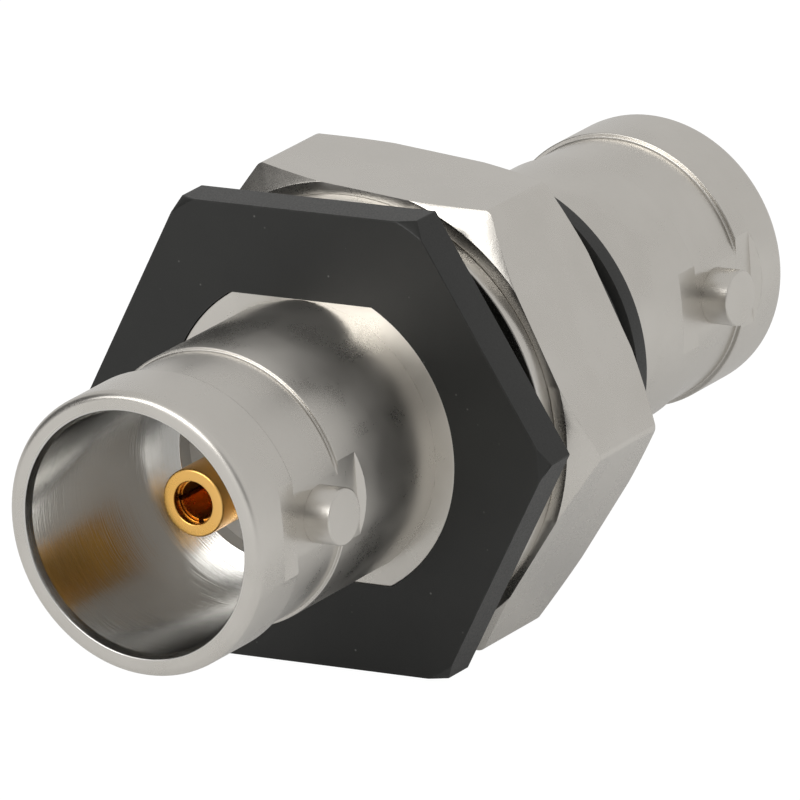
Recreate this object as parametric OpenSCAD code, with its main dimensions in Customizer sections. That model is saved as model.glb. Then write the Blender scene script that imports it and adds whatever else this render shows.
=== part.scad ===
// Coaxial bulkhead feedthrough with a bayonet jack at each end.
// Two turned metal shells screw together inside an insulating bush, which a
// nut and washer clamp into a panel.
// The connector's axis lies along Y, with the front jack at -Y and its studs
// along X. The origin is on that axis, in the plane of the panel seat.

/* [Jacks] */
// Diameter of the bore that takes the mating plug
bore_d = 8.14; // [8.0:0.02:8.2]
// Depth of that bore, from the mouth to the shoulder the plug seats on
bore_depth = 8.0; // [7.5:0.1:8.5]
// Thickness of the wall at the mouth ring
ring_wall = 0.73; // [0.7:0.01:0.8]
// Length of the mouth ring
ring_len = 2.55; // [2.2:0.05:2.8]
// Depth of the bayonet groove below the ring
groove_depth = 0.18; // [0.1:0.01:0.24]
// Width of the bayonet groove
groove_len = 2.7; // [2.5:0.05:3.0]
// How far the barrel behind the groove lies below the ring
barrel_step = 0.06; // [0.02:0.01:0.08]
// Small bevels on the inner and outer edges of the mouth
mouth_bevel = 0.14; // [0.05:0.01:0.2]

/* [Bayonet studs] */
// Diameter of each stud
stud_d = 1.9; // [1.7:0.05:2.0]
// Height of each stud above the mouth ring
stud_rise = 0.7; // [0.6:0.05:0.8]
// Distance from the mouth to the stud's centre
stud_from_mouth = 4.0; // [3.9:0.05:4.1]
// Depth of the flats milled around the studs, below the ring
stud_flat_depth = 0.27; // [0.22:0.01:0.35]
// Length of each flat at its foot
stud_flat_len = 4.6; // [4.2:0.1:5.0]
// Length of the ramp at each end of a flat
stud_flat_ramp = 0.33; // [0.2:0.01:0.5]

/* [Insulating bush] */
// Width of the seat between the shank and the flats of the hexagonal head
seat_width = 1.3; // [1.0:0.05:1.6]
// Thickness of the head
hex_t = 1.5; // [1.2:0.1:2.0]
// Bevel around the head's front edges
hex_bevel = 0.12; // [0.05:0.01:0.25]
// How far the turned bevel cuts the head's front corners back
corner_cut = 0.3; // [0.1:0.05:0.5]
// Thickness of the shank's wall around the shells' flanges
shank_wall = 1.0; // [0.9:0.05:1.2]
// Length of the shank behind the head
shank_len = 9.8; // [9.2:0.1:10.5]
// Length of the plain nose at the shank's free end
nose_len = 0.8; // [0.5:0.1:1.2]
// Thickness of the nose's wall around the rear flange
nose_wall = 0.55; // [0.45:0.05:0.7]

/* [Shells in the bush] */
// Length of the front jack in front of the head
front_reach = 10.7; // [10.2:0.1:12.0]
// Length of the rear jack behind the shank
rear_reach = 11.0; // [10.2:0.1:13.0]
// Width of the flange around each barrel
flange_width = 0.74; // [0.6:0.02:0.8]
// Thickness of the front flange
flange_t = 2.0; // [1.6:0.1:2.4]
// Thickness of the rear flange
collar_t = 1.7; // [1.4:0.1:2.0]
// How far each flange lies below the bush's end
flange_recess = 0.05; // [0.02:0.01:0.2]
// Thickness of the rear shell's sleeve
sleeve_wall = 0.52; // [0.45:0.01:0.58]
// Thickness of the front shell's spigot inside the sleeve
spigot_wall = 0.58; // [0.5:0.01:0.62]

/* [Nut and washer] */
// Thickness of the nut's wall at its flats
nut_wall = 1.1; // [1.0:0.05:1.6]
// Thickness of the nut
nut_t = 4.6; // [4.0:0.1:4.8]
// Turn of the nut about the axis, in degrees
nut_turn = 5.5; // [-30:0.5:30]
// Slope of the bevel on each end of the nut, in degrees
nut_bevel_slope = 30; // [20:1:40]
// Width of the washer's face
washer_width = 1.25; // [0.9:0.05:1.5]
// Thickness of the washer
washer_t = 0.65; // [0.4:0.05:0.9]
// Gap left for the panel between the head and the washer
panel_gap = 1.0; // [0.8:0.1:1.5]

/* [Contact] */
// Depth of the contact's tip below each mouth
tip_depth = 3.53; // [3.3:0.05:4.0]
// Outside diameter of the contact inside its hood and insulator
contact_d = 1.9; // [1.8:0.02:1.96]
// Thickness of the hood around each socket
hood_wall = 0.2; // [0.15:0.01:0.3]
// Diameter of the hood's closed entry
entry_d = 1.45; // [1.42:0.01:1.5]
// Diameter of the socket between the spring tines
socket_d = 1.32; // [1.28:0.01:1.36]
// Diameter of the stem that joins the two halves of the contact
stem_d = 0.9; // [0.8:0.05:1.0]
// Height of the collar that holds each half in its insulator
contact_collar_rise = 0.4; // [0.3:0.05:0.6]
// Width of the slots between the tines
tine_slot = 0.18; // [0.12:0.02:0.22]

/* [Insulators] */
// Height of the lip in front of each insulator
lip_rise = 0.27; // [0.2:0.01:0.4]
// Thickness of that lip
lip_t = 0.6; // [0.4:0.05:0.8]

/* [Fits] */
// Radial clearance of a piece that is pushed into its seat
slip = 0.02; // [0.01:0.01:0.03]
// Radial clearance between the nut's thread and the shank's
thread_play = 0.05; // [0.03:0.01:0.08]
// Radial clearance of the washer on the shank
washer_play = 0.1; // [0.06:0.01:0.12]
// Gap between the nut's face and the washer
face_play = 0.02; // [0.01:0.01:0.03]
// End clearance of the screwed joint between the shells
joint_play = 0.1; // [0.05:0.05:0.2]

/* [Hidden] */
$fn = 96;
overlap = 0.02;

// Diameters, each from the one inside or outside it.
ring_d = bore_d + 2 * ring_wall;
groove_d = ring_d - 2 * groove_depth;
barrel_d = ring_d - 2 * barrel_step;
stud_span = ring_d + 2 * stud_rise;
stud_flat_span = ring_d - 2 * stud_flat_depth;
flange_d = barrel_d + 2 * flange_width;
flange_af = barrel_d + 2 * slip;
spigot_d = barrel_d - 2 * sleeve_wall - 2 * slip;
cavity_d = spigot_d - 2 * spigot_wall;
lip_d = cavity_d - 2 * lip_rise;
shank_d = flange_d + 2 * slip + 2 * shank_wall;
nose_d = shank_d - 2 * (shank_wall - nose_wall);
hex_af = shank_d + 2 * seat_width;
washer_bore_d = shank_d + 2 * washer_play;
washer_d = washer_bore_d + 2 * washer_width;
nut_bore_d = shank_d + 2 * thread_play;
nut_af = nut_bore_d + 2 * nut_wall;
hood_d = contact_d + 2 * hood_wall;
contact_collar_d = contact_d + 2 * contact_collar_rise;

// Planes along the axis, from the front mouth to the rear mouth.
head_y = -hex_t;
front_mouth_y = head_y - front_reach;
shank_end_y = shank_len;
rear_mouth_y = shank_end_y + rear_reach;
pocket_y = head_y + flange_recess + flange_t;
counterbore_y = shank_end_y - flange_recess - collar_t;
spigot_end_y = counterbore_y - 5 * joint_play;
cavity_front_y = front_mouth_y + bore_depth + lip_t;
cavity_rear_y = rear_mouth_y - bore_depth - lip_t;
middle_y = (cavity_front_y + cavity_rear_y) / 2;
washer_y = panel_gap;
nut_y = washer_y + washer_t + face_play;

groove_end = ring_len + groove_len;
flange_depth = front_reach + flange_recess;
collar_depth = rear_reach + flange_recess;
contact_collar_t = 0.6;
half_contact = middle_y - front_mouth_y - tip_depth;
hood_lip_t = 0.35;
tine_gap = 0.06;
tine_len = 3.4;
socket_depth = 4.2;
stem_len = 2.6;

front_metal = "silver";
bush_black = [0.13, 0.13, 0.13];
gold = [0.85, 0.62, 0.25];
white_plastic = [0.9, 0.9, 0.88];

// Puts a piece drawn along +Z, starting at z = 0, with its start at y and its
// length running backwards.
module backwards_from(y) translate([0, y, 0]) rotate([-90, 0, 0]) children();

// The same, with its length running forwards.
module forwards_from(y) translate([0, y, 0]) rotate([90, 0, 0]) children();

// A ring or tube between two radii, from z to z + len.
module tube(outer_d, inner_d, z, len) {
    rotate_extrude()
        translate([inner_d / 2, z])
            square([(outer_d - inner_d) / 2, len]);
}

// Outline of the jack's outside from the mouth to the given depth, as points
// of radius and depth.
function jack_outside(depth) = [
    [bore_d / 2 + mouth_bevel, 0],
    [ring_d / 2 - mouth_bevel, 0],
    [ring_d / 2, mouth_bevel],
    [ring_d / 2, ring_len],
    [groove_d / 2, ring_len],
    [groove_d / 2, groove_end],
    [barrel_d / 2, groove_end],
    [barrel_d / 2, depth],
];

// Outline of the inside, from the insulator's cavity out to the mouth.
jack_inside = [
    [cavity_d / 2, bore_depth + lip_t],
    [lip_d / 2, bore_depth + lip_t],
    [lip_d / 2, bore_depth],
    [bore_d / 2, bore_depth],
    [bore_d / 2, mouth_bevel],
];

// The two flats milled across the jack around its studs. Each runs out
// through a shallow ramp at both ends.
module stud_flats() {
    foot = stud_flat_len / 2;
    rise = stud_flat_depth + overlap;
    for (side = [0, 180])
        rotate([0, 0, side])
            translate([stud_flat_span / 2, 0, stud_from_mouth])
                rotate([90, 0, 0])
                    linear_extrude(height = ring_d, center = true)
                        polygon([
                            [0, -foot],
                            [rise, -foot - stud_flat_ramp],
                            [stud_span, -foot - stud_flat_ramp],
                            [stud_span, foot + stud_flat_ramp],
                            [rise, foot + stud_flat_ramp],
                            [0, foot],
                        ]);
}

// One pair of bayonet studs, left standing when the flats are milled.
module studs() {
    root = bore_d / 2 + (groove_d - bore_d) / 4;
    for (side = [0, 180])
        rotate([0, 0, side])
            translate([root, 0, stud_from_mouth])
                rotate([0, 90, 0])
                    cylinder(d = stud_d, h = stud_span / 2 - root);
}

// The body of a jack: its turned outline, the flats and the studs.
module jack(outline) {
    difference() {
        rotate_extrude() polygon(outline);
        stud_flats();
    }
    studs();
}

// Front shell: the jack, a flange keyed by two flats and a threaded spigot.
module front_shell() {
    spigot_end = spigot_end_y - front_mouth_y;
    flange_end = flange_depth + flange_t;
    outline = concat(
        jack_outside(flange_depth),
        [
            [flange_d / 2, flange_depth],
            [flange_d / 2, flange_end],
            [spigot_d / 2, flange_end],
            [spigot_d / 2, spigot_end - mouth_bevel],
            [spigot_d / 2 - mouth_bevel, spigot_end],
            [cavity_d / 2, spigot_end],
        ],
        jack_inside
    );
    color(front_metal)
        backwards_from(front_mouth_y)
            difference() {
                jack(outline);
                for (side = [0, 180])
                    rotate([0, 0, side])
                        translate([-ring_d, flange_af / 2, flange_depth - overlap])
                            cube([2 * ring_d, ring_d, flange_t + 2 * overlap]);
            }
}

// Rear shell: the jack, a round collar and a sleeve that screws over the
// front shell's spigot.
module rear_shell() {
    collar_end = collar_depth + collar_t;
    sleeve_end = rear_mouth_y - pocket_y - 2 * joint_play;
    seat_depth = rear_mouth_y - spigot_end_y - joint_play;
    outline = concat(
        jack_outside(collar_depth),
        [
            [flange_d / 2, collar_depth],
            [flange_d / 2, collar_end],
            [barrel_d / 2, collar_end],
            [barrel_d / 2, sleeve_end],
            [spigot_d / 2 + slip, sleeve_end],
            [spigot_d / 2 + slip, seat_depth],
            [cavity_d / 2, seat_depth],
        ],
        jack_inside
    );
    color(front_metal) forwards_from(rear_mouth_y) jack(outline);
}

// Insulating bush: a hexagonal head and a threaded shank with a plain nose.
// The front shell's keyed flange sits in its head and the rear shell's collar
// in its nose.
module insulating_bush() {
    corner_d = hex_af / cos(30);
    bevel_d = corner_d - 2 * hex_bevel;
    face_r = corner_d / 2 - corner_cut;
    nose_step = (shank_d - nose_d) / 2;
    color(bush_black)
        difference() {
            union() {
                backwards_from(head_y)
                    intersection() {
                        cylinder(d = corner_d, h = hex_t, $fn = 6);
                        cylinder(d1 = bevel_d, d2 = bevel_d + 2 * hex_t, h = hex_t, $fn = 6);
                        cylinder(r1 = face_r, r2 = face_r + hex_t, h = hex_t);
                    }
                backwards_from(head_y)
                    rotate_extrude()
                        polygon([
                            [0, hex_t / 2],
                            [shank_d / 2, hex_t / 2],
                            [shank_d / 2, hex_t + shank_len - nose_len - nose_step],
                            [nose_d / 2, hex_t + shank_len - nose_len],
                            [nose_d / 2, hex_t + shank_len],
                            [0, hex_t + shank_len],
                        ]);
            }
            // pocket for the keyed flange
            backwards_from(head_y - overlap)
                intersection() {
                    cylinder(d = flange_d + 2 * slip, h = pocket_y - head_y + overlap);
                    translate([-flange_d, -flange_af / 2 - slip, 0])
                        cube([2 * flange_d, flange_af + 2 * slip, flange_d]);
                }
            // way through for the sleeve
            backwards_from(head_y - overlap)
                cylinder(d = barrel_d + 2 * slip, h = hex_t + shank_len + 2 * overlap);
            // counterbore for the rear collar
            backwards_from(counterbore_y)
                cylinder(d = flange_d + 2 * slip, h = shank_len);
        }
}

// Flat washer between the panel and the nut.
module washer() {
    color(front_metal)
        backwards_from(washer_y)
            tube(washer_d, washer_bore_d, 0, washer_t);
}

// Hexagonal nut, beveled at both ends.
module hex_nut() {
    corner_r = nut_af / 2 / cos(30);
    face_r = nut_af / 2 - 0.1;
    bevel = (corner_r - face_r) * tan(nut_bevel_slope);
    bore_r = nut_bore_d / 2;
    lead = 0.3;
    color(front_metal)
        backwards_from(nut_y)
            rotate([0, 0, nut_turn])
                difference() {
                    intersection() {
                        cylinder(r = corner_r, h = nut_t, $fn = 6);
                        rotate_extrude()
                            polygon([
                                [0, 0],
                                [face_r, 0],
                                [corner_r, bevel],
                                [corner_r, nut_t - bevel],
                                [face_r, nut_t],
                                [0, nut_t],
                            ]);
                    }
                    translate([0, 0, -overlap])
                        cylinder(r = bore_r, h = nut_t + 2 * overlap);
                    for (end = [0, 1])
                        translate([0, 0, end * nut_t])
                            mirror([0, 0, end])
                                translate([0, 0, -overlap])
                                    cylinder(r1 = bore_r + lead + overlap, r2 = bore_r, h = lead + overlap);
                }
}

// Insulator that fills half of the cavity. A counterbore in its inner end
// holds the contact's collar.
module insulator() {
    len = middle_y - cavity_front_y;
    rotate_extrude()
        polygon([
            [contact_d / 2 + slip, 0],
            [cavity_d / 2 - slip, 0],
            [cavity_d / 2 - slip, len],
            [contact_collar_d / 2 + slip, len],
            [contact_collar_d / 2 + slip, len - contact_collar_t],
            [contact_d / 2 + slip, len - contact_collar_t],
        ]);
}

module front_insulator() color(white_plastic) backwards_from(cavity_front_y) insulator();

module rear_insulator() color(white_plastic) forwards_from(cavity_rear_y) insulator();

// Half of the centre contact, from its tines at z = 0 back to its collar.
module contact_half() {
    start = hood_lip_t + tine_gap;
    difference() {
        rotate_extrude()
            polygon([
                [socket_d / 2, start],
                [contact_d / 2 - tine_gap, start],
                [contact_d / 2 - tine_gap, start + tine_len],
                [contact_d / 2, start + tine_len],
                [contact_d / 2, half_contact - contact_collar_t],
                [contact_collar_d / 2, half_contact - contact_collar_t],
                [contact_collar_d / 2, half_contact],
                [0, half_contact],
                [0, start + socket_depth],
                [socket_d / 2, start + socket_depth],
            ]);
        for (turn = [0, 90])
            rotate([0, 0, turn])
                translate([-contact_d, -tine_slot / 2, start - overlap])
                    cube([2 * contact_d, tine_slot, tine_len]);
    }
}

module front_contact() {
    color(gold)
        backwards_from(front_mouth_y + tip_depth) {
            contact_half();
            translate([0, 0, half_contact - overlap]) cylinder(d = stem_d, h = stem_len + overlap);
        }
}

module rear_contact() {
    color(gold)
        forwards_from(rear_mouth_y - tip_depth)
            difference() {
                contact_half();
                translate([0, 0, half_contact - stem_len - joint_play])
                    cylinder(d = stem_d + 2 * slip, h = stem_len + 2 * joint_play);
            }
}

// Hood that shields the tines. Its closed entry guides the mating pin.
module contact_hood() {
    len = bore_depth + lip_t - tip_depth - slip;
    rotate_extrude()
        polygon([
            [entry_d / 2, 0],
            [hood_d / 2 - 0.08, 0],
            [hood_d / 2, 0.08],
            [hood_d / 2, len],
            [contact_d / 2, len],
            [contact_d / 2, hood_lip_t],
            [entry_d / 2, hood_lip_t],
        ]);
}

module front_contact_hood() color(gold) backwards_from(front_mouth_y + tip_depth) contact_hood();

module rear_contact_hood() color(gold) forwards_from(rear_mouth_y - tip_depth) contact_hood();

front_shell();
rear_shell();
insulating_bush();
washer();
hex_nut();
front_insulator();
rear_insulator();
front_contact();
rear_contact();
front_contact_hood();
rear_contact_hood();
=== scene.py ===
import math

import bpy
from mathutils import Matrix, Vector


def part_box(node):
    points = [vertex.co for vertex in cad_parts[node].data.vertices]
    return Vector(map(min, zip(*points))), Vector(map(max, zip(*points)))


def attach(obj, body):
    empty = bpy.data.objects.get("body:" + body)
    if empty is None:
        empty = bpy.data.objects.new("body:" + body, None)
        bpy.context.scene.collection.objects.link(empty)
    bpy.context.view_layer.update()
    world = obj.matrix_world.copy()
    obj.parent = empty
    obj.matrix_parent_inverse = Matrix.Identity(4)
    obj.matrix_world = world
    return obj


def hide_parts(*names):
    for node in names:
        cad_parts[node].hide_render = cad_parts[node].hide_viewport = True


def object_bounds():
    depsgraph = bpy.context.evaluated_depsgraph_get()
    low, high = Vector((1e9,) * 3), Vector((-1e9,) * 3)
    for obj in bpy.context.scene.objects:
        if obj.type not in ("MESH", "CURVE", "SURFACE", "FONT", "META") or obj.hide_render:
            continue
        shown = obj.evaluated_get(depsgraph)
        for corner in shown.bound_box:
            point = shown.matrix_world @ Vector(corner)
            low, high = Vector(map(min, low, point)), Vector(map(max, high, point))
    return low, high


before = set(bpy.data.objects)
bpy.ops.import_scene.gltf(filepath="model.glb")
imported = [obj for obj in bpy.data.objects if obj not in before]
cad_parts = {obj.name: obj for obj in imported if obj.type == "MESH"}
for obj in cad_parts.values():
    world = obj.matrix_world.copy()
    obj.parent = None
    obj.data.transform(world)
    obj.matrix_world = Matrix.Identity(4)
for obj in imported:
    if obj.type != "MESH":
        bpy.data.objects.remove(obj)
cad_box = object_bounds()
MM = 0.001

# ---------------------------------------------------------------------------
# Studio. A pale table that reaches past the view on all sides, soft boxes over
# and in front of the connector, and an even room light. Two dark cards, one on
# the left and one in front on the right, give the metal its darker reflections.
# ---------------------------------------------------------------------------
scene = bpy.context.scene
scene.view_settings.view_transform = "Standard"

ROOM_LIGHT = 0.67
ROOM_TINT = (1.0, 0.99, 0.975, 1)
# Each card: where it hangs, the cosines at its edge and its middle, its darkness.
CARDS = (
    ((-0.90, -0.36, 0.24), 0.80, 0.94, 0.86),
    ((0.62, -0.72, 0.33), 0.90, 0.97, 0.72),
)
TABLE_TONE = (0.86, 0.86, 0.855, 1)
TABLE_DROP = 0.05 * MM
# How much of the table is lit from below, for the room and for the view itself.
TABLE_GLOW = 0.20
TABLE_WHITE = 0.92
GLOW_STRENGTH = 1.08

bpy.ops.object.camera_add(
    location=(0.266867, -0.407264, 0.150991),
    rotation=[math.radians(turn) for turn in (72.8084, 3.9142, 31.7693)],
)
camera = bpy.context.object
camera.data.sensor_width = 36
camera.data.lens = 702.31
camera.data.clip_start = 0.05
camera.data.clip_end = 20
scene.camera = camera


def maths(tree, operation, *values):
    """A Math node. Each value is a number or another node's output."""
    node = tree.nodes.new("ShaderNodeMath")
    node.operation = operation
    for socket, value in zip(node.inputs, values):
        if isinstance(value, (int, float)):
            socket.default_value = value
        else:
            tree.links.new(value, socket)
    return node.outputs["Value"]


def ramp(tree, value, low, high, to_low=0.0, to_high=1.0):
    """Spreads the values between low and high over a new range, and clamps them."""
    node = tree.nodes.new("ShaderNodeMapRange")
    limits = {"From Min": low, "From Max": high, "To Min": to_low, "To Max": to_high}
    for socket, number in limits.items():
        node.inputs[socket].default_value = number
    tree.links.new(value, node.inputs["Value"])
    return node.outputs["Result"]


world = bpy.data.worlds.new("studio room")
scene.world = world
world.use_nodes = True
sky = world.node_tree
sky.nodes.clear()
facing = sky.nodes.new("ShaderNodeTexCoord").outputs["Generated"]
level = ROOM_LIGHT
for card, edge, middle, darkness in CARDS:
    towards = sky.nodes.new("ShaderNodeVectorMath")
    towards.operation = "DOT_PRODUCT"
    size = math.hypot(*card)
    towards.inputs[1].default_value = [part / size for part in card]
    sky.links.new(facing, towards.inputs[0])
    shade = ramp(sky, towards.outputs["Value"], edge, middle, 1, 1 - darkness)
    level = maths(sky, "MULTIPLY", shade, level)
room = sky.nodes.new("ShaderNodeBackground")
room.inputs["Color"].default_value = ROOM_TINT
sky.links.new(level, room.inputs["Strength"])
seen = sky.nodes.new("ShaderNodeBackground")
seen.inputs["Color"].default_value = (1, 1, 1, 1)
seen.inputs["Strength"].default_value = 1.0
ray = sky.nodes.new("ShaderNodeLightPath")
choose = sky.nodes.new("ShaderNodeMixShader")
sky_out = sky.nodes.new("ShaderNodeOutputWorld")
sky.links.new(ray.outputs["Is Camera Ray"], choose.inputs["Fac"])
sky.links.new(room.outputs["Background"], choose.inputs[1])
sky.links.new(seen.outputs["Background"], choose.inputs[2])
sky.links.new(choose.outputs["Shader"], sky_out.inputs["Surface"])


def softbox(name, place, aim, size, power, tint):
    """A soft light in a rectangular box, turned towards a point."""
    bpy.ops.object.light_add(type="AREA", location=place)
    lamp = bpy.context.object
    lamp.name = name
    lamp.data.shape = "RECTANGLE"
    lamp.data.size, lamp.data.size_y = size
    lamp.data.energy = power
    lamp.data.color = tint
    lamp.rotation_mode = "QUATERNION"
    lamp.rotation_quaternion = (Vector(aim) - lamp.location).to_track_quat("-Z", "Y")


softbox("key softbox", (-0.06, -0.52, 0.33), (0, 0, 0), (0.36, 0.24), 0.95, (1, 0.99, 0.975))
softbox("low softbox", (-0.20, -0.34, 0.16), (-0.03, -0.06, 0), (0.22, 0.12), 0.16, (1, 0.99, 0.98))

bpy.ops.mesh.primitive_plane_add(size=6, location=(0, 0, cad_box[0].z - TABLE_DROP))
table = bpy.context.object
table.name = "table"
paper = bpy.data.materials.new("table_paper")
paper.use_nodes = True
tree = paper.node_tree
tree.nodes.clear()
matt = tree.nodes.new("ShaderNodeBsdfDiffuse")
matt.inputs["Color"].default_value = TABLE_TONE
glow = tree.nodes.new("ShaderNodeEmission")
glow.inputs["Color"].default_value = (1, 1, 1, 1)
glow.inputs["Strength"].default_value = GLOW_STRENGTH
ray = tree.nodes.new("ShaderNodeLightPath")
blend = tree.nodes.new("ShaderNodeMixShader")
out = tree.nodes.new("ShaderNodeOutputMaterial")
lit = ramp(tree, ray.outputs["Is Camera Ray"], 0, 1, TABLE_GLOW, TABLE_WHITE)
tree.links.new(lit, blend.inputs["Fac"])
tree.links.new(matt.outputs["BSDF"], blend.inputs[1])
tree.links.new(glow.outputs["Emission"], blend.inputs[2])
tree.links.new(blend.outputs["Shader"], out.inputs["Surface"])
table.data.materials.append(paper)

# ---------------------------------------------------------------------------
# Plated metal. The shells, washer and nut are brass with a satin nickel
# plate. What the plating shows is shared between them: rings left by the
# tool, soft clouds in the plate, and edges rubbed by handling.
# ---------------------------------------------------------------------------


def new_group(name, inputs, outputs):
    """An empty shader node group with the sockets named in two dicts."""
    group = bpy.data.node_groups.new(name, "ShaderNodeTree")
    for socket, kind in inputs.items():
        group.interface.new_socket(socket, in_out="INPUT", socket_type=f"NodeSocket{kind}")
    for socket, kind in outputs.items():
        group.interface.new_socket(socket, in_out="OUTPUT", socket_type=f"NodeSocket{kind}")
    return group, group.nodes.new("NodeGroupInput"), group.nodes.new("NodeGroupOutput")


def noise(tree, vector, scale, detail=2.0):
    """Noise in millimetre cells: a scale of 1 gives lumps about a millimetre apart."""
    node = tree.nodes.new("ShaderNodeTexNoise")
    node.inputs["Scale"].default_value = scale / MM
    node.inputs["Detail"].default_value = detail
    tree.links.new(vector, node.inputs["Vector"])
    return node.outputs["Fac"]


# Rings that a turning tool leaves: they follow radius and height and hardly
# change round the axis.
tool_rings, ends_in, ends_out = new_group("tool rings", {}, {"Height": "Float", "Radius": "Float"})
place = tool_rings.nodes.new("ShaderNodeTexCoord").outputs["Object"]
split = tool_rings.nodes.new("ShaderNodeSeparateXYZ")
tool_rings.links.new(place, split.inputs["Vector"])
x_square = maths(tool_rings, "MULTIPLY", split.outputs["X"], split.outputs["X"])
z_square = maths(tool_rings, "MULTIPLY", split.outputs["Z"], split.outputs["Z"])
radius = maths(tool_rings, "SQRT", maths(tool_rings, "ADD", x_square, z_square))
turned_place = tool_rings.nodes.new("ShaderNodeCombineXYZ")
tool_rings.links.new(radius, turned_place.inputs["X"])
tool_rings.links.new(split.outputs["Y"], turned_place.inputs["Y"])
drift = maths(tool_rings, "MULTIPLY", noise(tool_rings, place, 0.35), 0.2 * MM)
tool_rings.links.new(drift, turned_place.inputs["Z"])
fine_rings = noise(tool_rings, turned_place.outputs["Vector"], 24.0, 2.0)
tool_rings.links.new(fine_rings, ends_out.inputs["Height"])
tool_rings.links.new(radius, ends_out.inputs["Radius"])

# Soft clouds and fine grain in a plated or moulded surface.
surface_clouds, ends_in, ends_out = new_group(
    "surface clouds", {}, {"Clouds": "Float", "Grain": "Float", "Specks": "Float"}
)
place = surface_clouds.nodes.new("ShaderNodeTexCoord").outputs["Object"]
clouds = ramp(surface_clouds, noise(surface_clouds, place, 0.45, 4.0), 0.32, 0.68)
grain = noise(surface_clouds, place, 16.0, 2.0)
cells = surface_clouds.nodes.new("ShaderNodeTexVoronoi")
cells.inputs["Scale"].default_value = 2.6 / MM
surface_clouds.links.new(place, cells.inputs["Vector"])
pick = surface_clouds.nodes.new("ShaderNodeSeparateColor")
surface_clouds.links.new(cells.outputs["Color"], pick.inputs["Color"])
chosen = ramp(surface_clouds, pick.outputs["Red"], 0.84, 1.0)
dot = ramp(surface_clouds, cells.outputs["Distance"], 0.13, 0.02)
surface_clouds.links.new(clouds, ends_out.inputs["Clouds"])
surface_clouds.links.new(grain, ends_out.inputs["Grain"])
surface_clouds.links.new(maths(surface_clouds, "MULTIPLY", chosen, dot), ends_out.inputs["Specks"])

# Edges rubbed by handling, broken up so that they are never an even line.
rubbed_edges, ends_in, ends_out = new_group(
    "rubbed edges", {"Width": "Float"}, {"Edge": "Float"}
)
rounded = rubbed_edges.nodes.new("ShaderNodeBevel")
rounded.samples = 4
rubbed_edges.links.new(ends_in.outputs["Width"], rounded.inputs["Radius"])
here = rubbed_edges.nodes.new("ShaderNodeNewGeometry")
bend = rubbed_edges.nodes.new("ShaderNodeVectorMath")
bend.operation = "DOT_PRODUCT"
rubbed_edges.links.new(rounded.outputs["Normal"], bend.inputs[0])
rubbed_edges.links.new(here.outputs["Normal"], bend.inputs[1])
place = rubbed_edges.nodes.new("ShaderNodeTexCoord").outputs["Object"]
broken = ramp(rubbed_edges, noise(rubbed_edges, place, 3.0, 3.0), 0.42, 0.62)
edge = ramp(rubbed_edges, bend.outputs["Value"], 0.985, 0.90)
rubbed_edges.links.new(maths(rubbed_edges, "MULTIPLY", edge, broken), ends_out.inputs["Edge"])


def new_material(name):
    """A material with a Principled shader. Returns it, its tree and the shader."""
    material = bpy.data.materials.new(name)
    material.use_nodes = True
    return material, material.node_tree, material.node_tree.nodes["Principled BSDF"]


def place_group(tree, group, **values):
    """Puts a group in a material with its own values."""
    node = tree.nodes.new("ShaderNodeGroup")
    node.node_tree = group
    for socket, value in values.items():
        node.inputs[socket].default_value = value
    return node.outputs


def tint(tree, factor, first, second):
    """Mixes two colours by a mask. Each colour is written out or comes from another node."""
    node = tree.nodes.new("ShaderNodeMix")
    node.data_type = "RGBA"
    tree.links.new(factor, node.inputs["Factor"])
    for socket, colour in zip(("A", "B"), (first, second)):
        socket = [s for s in node.inputs if s.name == socket and s.type == "RGBA"][0]
        if isinstance(colour, tuple):
            socket.default_value = (*colour, 1)
        else:
            tree.links.new(colour, socket)
    return [s for s in node.outputs if s.type == "RGBA"][0]


def bumps(tree, shader, height, distance, strength=1.0):
    """Lets a height tilt the shader's normal."""
    node = tree.nodes.new("ShaderNodeBump")
    node.inputs["Strength"].default_value = strength
    node.inputs["Distance"].default_value = distance
    tree.links.new(height, node.inputs["Height"])
    tree.links.new(node.outputs["Normal"], shader.inputs["Normal"])


EDGE_CHIPS = 0.006 * MM
BORE_PLATE = (0.68, 0.675, 0.66)


def plated(name, bright, dull, rough, ring_depth, grain_depth, bore=None):
    """Plated brass: two tones of the plate, its roughness and the depth of its
    marks. A bore is a radius, the roughness inside it and its rings' depth."""
    material, tree, shader = new_material(name)
    shader.inputs["Metallic"].default_value = 1.0
    marks = place_group(tree, surface_clouds)
    rings = place_group(tree, tool_rings)
    edges = place_group(tree, rubbed_edges, Width=0.06 * MM)
    colour = tint(tree, marks["Clouds"], dull, bright)
    colour = tint(tree, edges["Edge"], colour, tuple(0.8 * c for c in dull))
    low, high = rough
    half_clouds = maths(tree, "MULTIPLY", marks["Clouds"], 0.5)
    spread = maths(tree, "MULTIPLY_ADD", marks["Grain"], 0.5, half_clouds)
    finish = ramp(tree, spread, 0.25, 0.75, low, high)
    depth = ring_depth / MM
    if bore:
        bore_r, bore_rough, bore_rings = bore
        outside = ramp(tree, rings["Radius"], bore_r - 0.1 * MM, bore_r)
        extra = maths(tree, "SUBTRACT", finish, bore_rough)
        finish = maths(tree, "MULTIPLY_ADD", extra, outside, bore_rough)
        depth = ramp(tree, outside, 0, 1, bore_rings / MM, ring_depth / MM)
        colour = tint(tree, outside, BORE_PLATE, colour)
    tree.links.new(colour, shader.inputs["Base Color"])
    tree.links.new(finish, shader.inputs["Roughness"])
    height = maths(tree, "MULTIPLY", rings["Height"], depth)
    height = maths(tree, "MULTIPLY_ADD", marks["Grain"], grain_depth / MM, height)
    chips = maths(tree, "MULTIPLY", marks["Grain"], edges["Edge"])
    height = maths(tree, "MULTIPLY_ADD", chips, EDGE_CHIPS / MM, height)
    bumps(tree, shader, height, MM)
    return material


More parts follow.
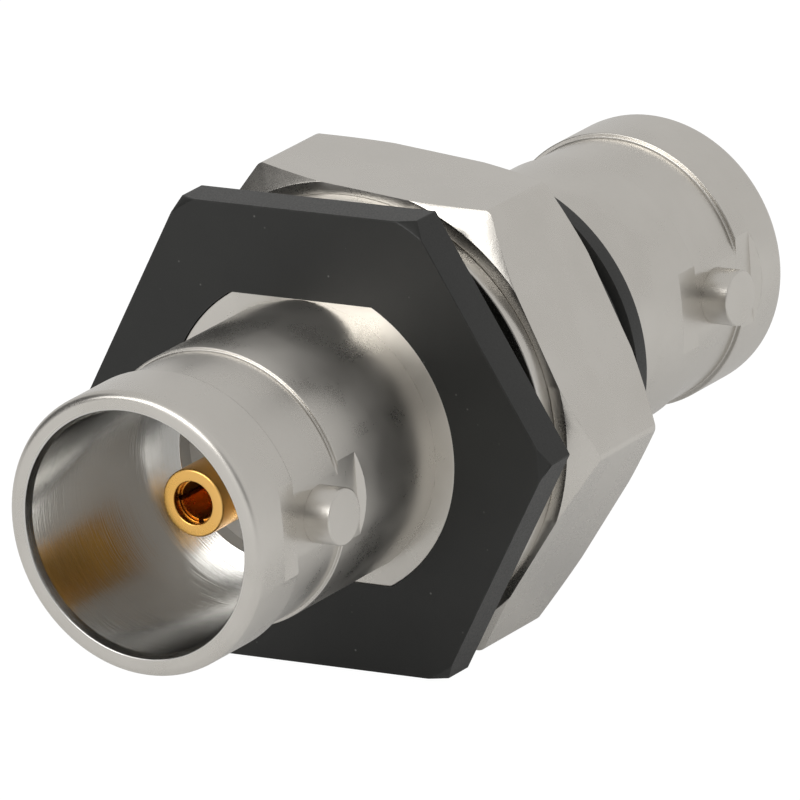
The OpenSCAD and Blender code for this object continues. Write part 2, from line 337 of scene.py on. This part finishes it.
nickel_turned = plated(
    "nickel_turned",
    (0.67, 0.647, 0.607),
    (0.62, 0.597, 0.557),
    (0.25, 0.36),
    0.0005 * MM,
    0.0004 * MM,
    bore=(4.25 * MM, 0.15, 0.005 * MM),
)
nickel_barrel = plated(
    "nickel_barrelled", (0.67, 0.647, 0.607), (0.63, 0.606, 0.566), (0.22, 0.32), 0.0, 0.0010 * MM
)

# ---------------------------------------------------------------------------
# Front and rear shells. Each is turned from brass bar in one piece: mouth
# ring, bayonet groove, barrel and flange. Flats are then milled across it,
# which leaves the two studs standing, and it is nickel plated.
# ---------------------------------------------------------------------------
front_low, front_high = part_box("front_shell")
_, rear_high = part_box("rear_shell")
bush_low, bush_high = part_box("insulating_bush")
FRONT_MOUTH = front_low.y
REAR_MOUTH = rear_high.y
HEAD_FRONT = bush_low.y
SHANK_END = bush_high.y

BORE_R = 4.07 * MM
BORE_DEPTH = 8.0 * MM
RING_R = 4.80 * MM
RING_LEN = 2.55 * MM
GROOVE_R = 4.62 * MM
GROOVE_END = 5.25 * MM
BARREL_R = 4.74 * MM
FLANGE_R = 5.48 * MM
CAVITY_R = 3.62 * MM
LIP_R = 3.35 * MM
LIP_T = 0.6 * MM
SPIGOT_R = 4.20 * MM
SLEEVE_R = 4.22 * MM
FLANGE_RECESS = 0.05 * MM
SEAT = bush_low.y + 2.05 * MM
COLLAR = SHANK_END - FLANGE_RECESS - 1.7 * MM
SPIGOT_END = front_high.y
STUD_R = 0.95 * MM
STUD_TIP = 5.50 * MM
STUD_Y = 4.0 * MM
FLAT_X = 4.53 * MM
FLAT_FOOT = 4.6 * MM
FLAT_RAMP = 0.30 * MM
FACETS = 128


def clear_selection():
    """Leaves nothing selected, so that the next operator works on its own object."""
    if bpy.context.object and bpy.context.object.mode != "OBJECT":
        bpy.ops.object.mode_set(mode="OBJECT")
    bpy.ops.object.select_all(action="DESELECT")


def rounded_outline(corners, steps=6):
    """Points of a closed outline of (radius, y, rounding) corners, with each
    corner rounded to its own size."""
    points = []
    for here, (r, y, rounding) in enumerate(corners):
        before, after = corners[here - 1], corners[(here + 1) % len(corners)]
        if not rounding:
            points.append((r, y))
            continue
        back = (before[0] - r, before[1] - y)
        on = (after[0] - r, after[1] - y)
        back_len, on_len = math.hypot(*back), math.hypot(*on)
        back = (back[0] / back_len, back[1] / back_len)
        on = (on[0] / on_len, on[1] / on_len)
        half = math.acos(max(-1, min(1, back[0] * on[0] + back[1] * on[1]))) / 2
        reach = min(rounding / math.tan(half), 0.48 * back_len, 0.48 * on_len)
        radius = reach * math.tan(half)
        mid = (back[0] + on[0], back[1] + on[1])
        mid_len = math.hypot(*mid)
        centre_far = radius / math.sin(half)
        centre = (r + mid[0] / mid_len * centre_far, y + mid[1] / mid_len * centre_far)
        start = math.atan2(y + back[1] * reach - centre[1], r + back[0] * reach - centre[0])
        end = math.atan2(y + on[1] * reach - centre[1], r + on[0] * reach - centre[0])
        sweep = (end - start + math.pi) % (2 * math.pi) - math.pi
        for step in range(steps + 1):
            angle = start + sweep * step / steps
            points.append((centre[0] + radius * math.cos(angle), centre[1] + radius * math.sin(angle)))
    return points


def turned(name, corners, facets=FACETS):
    """Turns a closed outline of (radius, y, rounding) corners round the axis."""
    points = rounded_outline(corners)
    clear_selection()
    r, y = points[0]
    bpy.ops.mesh.primitive_plane_add(size=1 * MM, location=(0, 0, 0), enter_editmode=True)
    piece = bpy.context.object
    piece.name = name
    bpy.ops.mesh.select_mode(type="VERT")
    bpy.ops.mesh.merge(type="CENTER")
    bpy.ops.transform.translate(value=(r, y, 0))
    for next_r, next_y in points[1:]:
        bpy.ops.mesh.extrude_region_move(
            TRANSFORM_OT_translate={"value": (next_r - r, next_y - y, 0)}
        )
        r, y = next_r, next_y
    bpy.ops.mesh.select_all(action="DESELECT")
    bpy.ops.object.mode_set(mode="OBJECT")
    for end in (0, len(points) - 1):
        piece.data.vertices[end].select = True
    bpy.ops.object.mode_set(mode="EDIT")
    bpy.ops.mesh.edge_face_add()
    bpy.ops.mesh.select_all(action="SELECT")
    bpy.ops.mesh.spin(
        steps=facets, angle=2 * math.pi, center=(0, 0, 0), axis=(0, 1, 0), use_auto_merge=True
    )
    bpy.ops.mesh.select_all(action="SELECT")
    bpy.ops.mesh.remove_doubles(threshold=0.0005 * MM)
    bpy.ops.mesh.normals_make_consistent(inside=False)
    bpy.ops.object.mode_set(mode="OBJECT")
    return piece


def fitted(piece, kind, **settings):
    """Adds a modifier, sets it and applies it."""
    clear_selection()
    piece.select_set(True)
    bpy.context.view_layer.objects.active = piece
    modifier = piece.modifiers.new(kind.lower(), kind)
    for setting, value in settings.items():
        setattr(modifier, setting, value)
    bpy.ops.object.modifier_apply(modifier=modifier.name)


def cut(piece, *tools, operation="DIFFERENCE"):
    """Cuts a piece with each tool, or joins them, and takes the tools away."""
    for tool in tools:
        fitted(piece, "BOOLEAN", object=tool, operation=operation, solver="EXACT")
        bpy.data.objects.remove(tool)


def settled(piece, smooth=17):
    """Applies a piece's place to its mesh and smooths its faces up to an angle."""
    clear_selection()
    piece.select_set(True)
    bpy.context.view_layer.objects.active = piece
    bpy.ops.object.transform_apply(location=True, rotation=True, scale=True)
    bpy.ops.object.shade_smooth_by_angle(angle=math.radians(smooth))
    fitted(piece, "WEIGHTED_NORMAL", keep_sharp=True, weight=60)


def pick_edges(piece, chosen):
    """Goes into edit mode with only the edges selected whose two ends pass a test."""
    clear_selection()
    piece.select_set(True)
    bpy.context.view_layer.objects.active = piece
    bpy.ops.object.mode_set(mode="EDIT")
    bpy.ops.mesh.select_mode(type="EDGE")
    bpy.ops.mesh.select_all(action="DESELECT")
    bpy.ops.object.mode_set(mode="OBJECT")
    for edge in piece.data.edges:
        edge.select = chosen(*(piece.data.vertices[v].co for v in edge.vertices))
    bpy.ops.object.mode_set(mode="EDIT")


def flat_cutter(side):
    """The milling cutter that leaves a flat with a ramp at each end."""
    clear_selection()
    length = FLAT_FOOT + 2 * FLAT_RAMP
    bpy.ops.mesh.primitive_cube_add(
        size=1, location=(side * (FLAT_X + 1.0 * MM), STUD_Y, 0), scale=(2.0 * MM, length, 12 * MM)
    )
    tool = bpy.context.object
    bpy.ops.object.transform_apply(location=True, rotation=True, scale=True)
    inner = FLAT_X + 0.01 * MM
    pick_edges(tool, lambda a, b: max(abs(a.x), abs(b.x)) < inner and abs(a.z - b.z) > MM)
    bpy.ops.mesh.bevel(offset=FLAT_RAMP, segments=1)
    bpy.ops.object.mode_set(mode="OBJECT")
    return tool


def stud(side):
    """A bayonet stud with a softly rounded end."""
    clear_selection()
    root = 4.30 * MM
    bpy.ops.mesh.primitive_cylinder_add(
        vertices=64,
        radius=STUD_R,
        depth=STUD_TIP - root,
        location=(side * (STUD_TIP + root) / 2, STUD_Y, 0),
        rotation=(0, math.pi / 2, 0),
    )
    pin = bpy.context.object
    bpy.ops.object.transform_apply(location=True, rotation=True, scale=True)
    pick_edges(pin, lambda a, b: min(abs(a.x), abs(b.x)) > STUD_TIP - 0.01 * MM)
    bpy.ops.mesh.bevel(offset=0.07 * MM, segments=5)
    bpy.ops.object.mode_set(mode="OBJECT")
    return pin


def jack(name, back):
    """A shell with its mouth at y = 0. The outline of its back end is given."""
    corners = [
        (BORE_R, 0.3 * MM, 0),
        (BORE_R + 0.11 * MM, 0, 0.05 * MM),
        (RING_R, 0, 0.44 * MM),
        (RING_R, RING_LEN, 0.05 * MM),
        (GROOVE_R, RING_LEN, 0.06 * MM),
        (GROOVE_R, GROOVE_END, 0.05 * MM),
        (BARREL_R, GROOVE_END, 0.04 * MM),
        *back,
        (CAVITY_R, BORE_DEPTH + LIP_T, 0),
        (LIP_R, BORE_DEPTH + LIP_T, 0),
        (LIP_R, BORE_DEPTH, 0.04 * MM),
        (BORE_R, BORE_DEPTH, 0),
    ]
    piece = turned(name, corners)
    cut(piece, flat_cutter(1), flat_cutter(-1))
    cut(piece, stud(1), stud(-1), operation="UNION")
    return piece


seat = SEAT - FRONT_MOUTH
recess = HEAD_FRONT + FLANGE_RECESS - FRONT_MOUTH
end = SPIGOT_END - FRONT_MOUTH
front_jack = jack(
    "front_jack_shell",
    [
        (BARREL_R, recess, 0),
        (FLANGE_R, recess, 0.05 * MM),
        (FLANGE_R, seat, 0.05 * MM),
        (SPIGOT_R, seat, 0),
        (SPIGOT_R, end, 0.14 * MM),
        (CAVITY_R, end, 0),
    ],
)
for side in (1, -1):
    clear_selection()
    bpy.ops.mesh.primitive_cube_add(
        size=1,
        location=(0, (recess + seat) / 2, side * (BARREL_R + 0.02 * MM + 1.5 * MM)),
        scale=(14 * MM, seat - recess + 0.04 * MM, 3 * MM),
    )
    key_flat = bpy.context.object
    bpy.ops.object.transform_apply(location=True, rotation=True, scale=True)
    cut(front_jack, key_flat)
front_jack.location.y = FRONT_MOUTH

collar, sleeve = REAR_MOUTH - COLLAR, REAR_MOUTH - SEAT - 0.2 * MM
rear_jack = jack(
    "rear_jack_shell",
    [
        (BARREL_R, REAR_MOUTH - SHANK_END + FLANGE_RECESS, 0),
        (FLANGE_R, REAR_MOUTH - SHANK_END + FLANGE_RECESS, 0.05 * MM),
        (FLANGE_R, collar, 0.05 * MM),
        (BARREL_R, collar, 0),
        (BARREL_R, sleeve, 0.1 * MM),
        (SLEEVE_R, sleeve, 0.1 * MM),
        (SLEEVE_R, REAR_MOUTH - SPIGOT_END - 0.1 * MM, 0),
        (CAVITY_R, REAR_MOUTH - SPIGOT_END - 0.1 * MM, 0),
    ],
)
rear_jack.rotation_euler.z = math.pi
rear_jack.location.y = REAR_MOUTH

for piece, node in ((front_jack, "front_shell"), (rear_jack, "rear_shell")):
    settled(piece)
    piece.data.materials.append(nickel_turned)
    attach(piece, "connector")
    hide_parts(node)

# ---------------------------------------------------------------------------
# Insulating bush. Moulded in black nylon: a hexagonal head with softened
# edges, and a shank with a cut thread of 1 mm pitch. The front shell's keyed
# flange sits in its head and the rear shell's collar in its shank.
# ---------------------------------------------------------------------------
HEAD_CORNER = bush_high.x
SHANK_R = 6.50 * MM
POCKET_R = 5.485 * MM
POCKET_HALF = 4.765 * MM
COLLAR_HOLE_R = 5.50 * MM
NOSE_R = 6.05 * MM
NOSE_LEN = 0.8 * MM
CORNER_CUT = 0.3 * MM
OVERCUT = 0.3 * MM
CORE_R = 4.2 * MM
THREAD_START = 0.45 * MM
THREAD_END = 8.45 * MM
THREAD_PITCH = 1.0 * MM
THREAD_ROOT = 5.95 * MM


def helix_cutter(y_start, y_end, inner_r, inner_w, outer_r, outer_w):
    """A screw-cutting tool's whole path: a four-sided section swept along a
    right-hand helix. The section is given by its width at two radii."""
    turns = round((y_end - y_start) / THREAD_PITCH)
    clear_selection()
    bpy.ops.mesh.primitive_plane_add(size=1, enter_editmode=False)
    tool = bpy.context.object
    places = [
        (inner_r, -inner_w / 2),
        (outer_r, -outer_w / 2),
        (inner_r, inner_w / 2),
        (outer_r, outer_w / 2),
    ]
    for vertex, (r, y) in zip(tool.data.vertices, places):
        vertex.co = (r, y_start + y, 0)
    fitted(
        tool,
        "SCREW",
        axis="Y",
        angle=2 * math.pi,
        screw_offset=THREAD_PITCH,
        iterations=turns,
        steps=64,
        render_steps=64,
        use_normal_calculate=False,
    )
    bpy.ops.object.mode_set(mode="EDIT")
    bpy.ops.mesh.select_all(action="SELECT")
    bpy.ops.mesh.fill_holes(sides=4)
    bpy.ops.mesh.select_all(action="SELECT")
    bpy.ops.mesh.normals_make_consistent(inside=False)
    bpy.ops.object.mode_set(mode="OBJECT")
    return tool


def hexagon(name, corner_r, y_start, y_end, turn=0):
    """A six-sided bar along the axis, with corners at the sides when not turned."""
    clear_selection()
    bpy.ops.mesh.primitive_cylinder_add(
        vertices=6,
        radius=corner_r,
        depth=y_end - y_start,
        location=(0, (y_start + y_end) / 2, 0),
        rotation=(math.pi / 2, 0, 0),
    )
    bar = bpy.context.object
    bar.name = name
    bpy.ops.object.transform_apply(location=True, rotation=True, scale=True)
    bar.data.transform(Matrix.Rotation(math.pi / 2 + turn, 4, "Y"))
    return bar


bush = hexagon("bush", HEAD_CORNER, HEAD_FRONT, 0)
corner_turning = turned(
    "corner_turning",
    [
        (CORE_R, HEAD_FRONT - OVERCUT, 0),
        (HEAD_CORNER - CORNER_CUT - OVERCUT, HEAD_FRONT - OVERCUT, 0),
        (HEAD_CORNER + OVERCUT, HEAD_FRONT + CORNER_CUT + OVERCUT, 0),
        (HEAD_CORNER + OVERCUT, MM, 0.05 * MM),
        (CORE_R, MM, 0),
    ],
)
cut(bush, corner_turning, operation="INTERSECT")
fitted(
    bush,
    "BEVEL",
    width=0.07 * MM,
    segments=3,
    limit_method="ANGLE",
    angle_limit=math.radians(30),
)
shank = turned(
    "shank",
    [
        (BARREL_R - 0.4 * MM, HEAD_FRONT / 2, 0),
        (SHANK_R, HEAD_FRONT / 2, 0),
        (SHANK_R, SHANK_END - NOSE_LEN - (SHANK_R - NOSE_R), 0.04 * MM),
        (NOSE_R, SHANK_END - NOSE_LEN, 0.06 * MM),
        (NOSE_R, SHANK_END, 0.08 * MM),
        (BARREL_R - 0.4 * MM, SHANK_END, 0),
    ],
)
thread = helix_cutter(THREAD_START, THREAD_END, THREAD_ROOT, 0.24 * MM, 6.6 * MM, 0.985 * MM)
cut(shank, thread)
cut(bush, shank, operation="UNION")


def core_pin(radius, y_start, y_end):
    """A round core that leaves a hole along the axis."""
    clear_selection()
    bpy.ops.mesh.primitive_cylinder_add(
        vertices=FACETS,
        radius=radius,
        depth=y_end - y_start,
        location=(0, (y_start + y_end) / 2, 0),
        rotation=(math.pi / 2, 0, 0),
    )
    bpy.ops.object.transform_apply(location=True, rotation=True, scale=True)
    return bpy.context.object


way_through = core_pin(BARREL_R + 0.02 * MM, HEAD_FRONT - MM, SHANK_END + MM)
counterbore = core_pin(COLLAR_HOLE_R, COLLAR, SHANK_END + MM)
pocket = core_pin(POCKET_R, HEAD_FRONT - MM, SEAT)
clear_selection()
bpy.ops.mesh.primitive_cube_add(size=1, scale=(20 * MM, 20 * MM, 2 * POCKET_HALF))
key = bpy.context.object
bpy.ops.object.transform_apply(location=True, rotation=True, scale=True)
cut(pocket, key, operation="INTERSECT")
cut(bush, way_through, counterbore, pocket)
settled(bush)

black_nylon, tree, shader = new_material("black_nylon")
marks = place_group(tree, surface_clouds)
edges = place_group(tree, rubbed_edges, Width=0.08 * MM)
colour = tint(tree, marks["Clouds"], (0.0065, 0.0070, 0.0060), (0.0095, 0.0100, 0.0088))
colour = tint(tree, edges["Edge"], colour, (0.030, 0.030, 0.028))
colour = tint(tree, marks["Specks"], colour, (0.16, 0.16, 0.15))
tree.links.new(colour, shader.inputs["Base Color"])
tree.links.new(ramp(tree, marks["Grain"], 0.3, 0.7, 0.36, 0.5), shader.inputs["Roughness"])
bumps(tree, shader, marks["Grain"], 0.0012 * MM)
bush.data.materials.append(black_nylon)
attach(bush, "connector")
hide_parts("insulating_bush")

# ---------------------------------------------------------------------------
# Washer. Punched from brass sheet and plated: its outer edge is rounded over
# on the side where the punch went in. Its rim stands inside the nut's corners,
# so the nut's own front face shows round it.
# ---------------------------------------------------------------------------
washer_low, washer_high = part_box("washer")
WASHER_R = 7.42 * MM
washer = turned(
    "washer_ring",
    [
        (6.60 * MM, washer_low.y, 0.05 * MM),
        (WASHER_R, washer_low.y, 0.10 * MM),
        (WASHER_R, washer_high.y, 0.04 * MM),
        (6.60 * MM, washer_high.y, 0.04 * MM),
    ],
)
settled(washer)
washer.data.materials.append(nickel_barrel)
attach(washer, "washer")
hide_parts("washer")

# ---------------------------------------------------------------------------
# Hexagonal nut. Cut from brass bar, turned to a shallow cone at both ends, which
# bevels its corners but leaves its flats whole in the middle, tapped to run on
# the bush, then plated in a barrel.
# ---------------------------------------------------------------------------
nut_low, nut_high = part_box("hex_nut")
NUT_TURN = math.radians(5.5)
NUT_FLAT = 7.65 * MM
NUT_CORNER = NUT_FLAT / math.cos(math.radians(30))
NUT_FACE = 7.84 * MM
NUT_RIM = NUT_CORNER + 0.1 * MM
NUT_BEVEL = (NUT_RIM - NUT_FACE) * math.tan(math.radians(31))
NUT_CREST = 6.00 * MM
NUT_ROOT = 6.55 * MM
nut = hexagon("nut", NUT_CORNER, nut_low.y, nut_high.y, NUT_TURN)
pick_edges(nut, lambda a, b: abs(a.y - b.y) > MM)
bpy.ops.mesh.bevel(offset=0.16 * MM, segments=5)
bpy.ops.object.mode_set(mode="OBJECT")
lathe_form = turned(
    "lathe_form",
    [
        (NUT_CREST, nut_low.y + 0.55 * MM, 0),
        (NUT_ROOT + 0.05 * MM, nut_low.y, 0.03 * MM),
        (NUT_FACE, nut_low.y, 0.05 * MM),
        (NUT_RIM, nut_low.y + NUT_BEVEL, 0),
        (NUT_RIM, nut_high.y - NUT_BEVEL, 0),
        (NUT_FACE, nut_high.y, 0.05 * MM),
        (NUT_ROOT + 0.05 * MM, nut_high.y, 0.03 * MM),
        (NUT_CREST, nut_high.y - 0.55 * MM, 0),
    ],
)
cut(nut, lathe_form, operation="INTERSECT")
fitted(
    nut,
    "BEVEL",
    width=0.05 * MM,
    segments=3,
    limit_method="ANGLE",
    angle_limit=math.radians(25),
)
turns_before = math.floor((nut_low.y - 1.5 * MM) / THREAD_PITCH)
start = THREAD_START + turns_before * THREAD_PITCH
nut_thread = helix_cutter(start, nut_high.y + 1.5 * MM, 5.9 * MM, 0.865 * MM, NUT_ROOT, 0.125 * MM)
cut(nut, nut_thread)
settled(nut)
nut.data.materials.append(nickel_barrel)
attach(nut, "nut")
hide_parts("hex_nut")

# ---------------------------------------------------------------------------
# Centre contact. Two gold-plated halves joined by a stem, each with a slotted
# spring socket that a turned hood shields.
# ---------------------------------------------------------------------------
gold_plate = plated(
    "gold_plate", (1.0, 0.60, 0.19), (0.96, 0.54, 0.13), (0.22, 0.32), 0.0005 * MM, 0.0003 * MM
)
for node, body_back in (("front_contact_hood", 1), ("rear_contact_hood", -1)):
    low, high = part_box(node)
    tip, root = (low.y, high.y) if body_back == 1 else (high.y, low.y)
    hood = turned(
        node.replace("contact_hood", "socket_hood"),
        [
            (0.725 * MM, tip, 0.05 * MM),
            (1.15 * MM, tip, 0.09 * MM),
            (1.15 * MM, root, 0.03 * MM),
            (0.95 * MM, root, 0),
            (0.95 * MM, tip + body_back * 0.35 * MM, 0),
            (0.725 * MM, tip + body_back * 0.35 * MM, 0.05 * MM),
        ],
        facets=96,
    )
    settled(hood)
    hood.data.materials.append(gold_plate)
    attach(hood, "connector")
    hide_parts(node)
for node in ("front_contact", "rear_contact"):
    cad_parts[node].data.materials.clear()
    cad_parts[node].data.materials.append(gold_plate)

# ---------------------------------------------------------------------------
# Insulators. Turned from white fluoroplastic rod and pushed into the shells.
# ---------------------------------------------------------------------------
white_rod, tree, shader = new_material("white_rod")
marks = place_group(tree, surface_clouds)
rings = place_group(tree, tool_rings)
colour = tint(tree, marks["Clouds"], (0.74, 0.73, 0.70), (0.80, 0.79, 0.76))
tree.links.new(colour, shader.inputs["Base Color"])
tree.links.new(ramp(tree, marks["Grain"], 0.3, 0.7, 0.38, 0.5), shader.inputs["Roughness"])
bumps(tree, shader, rings["Height"], 0.003 * MM)
for node in ("front_insulator", "rear_insulator"):
    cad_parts[node].data.materials.clear()
    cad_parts[node].data.materials.append(white_rod)
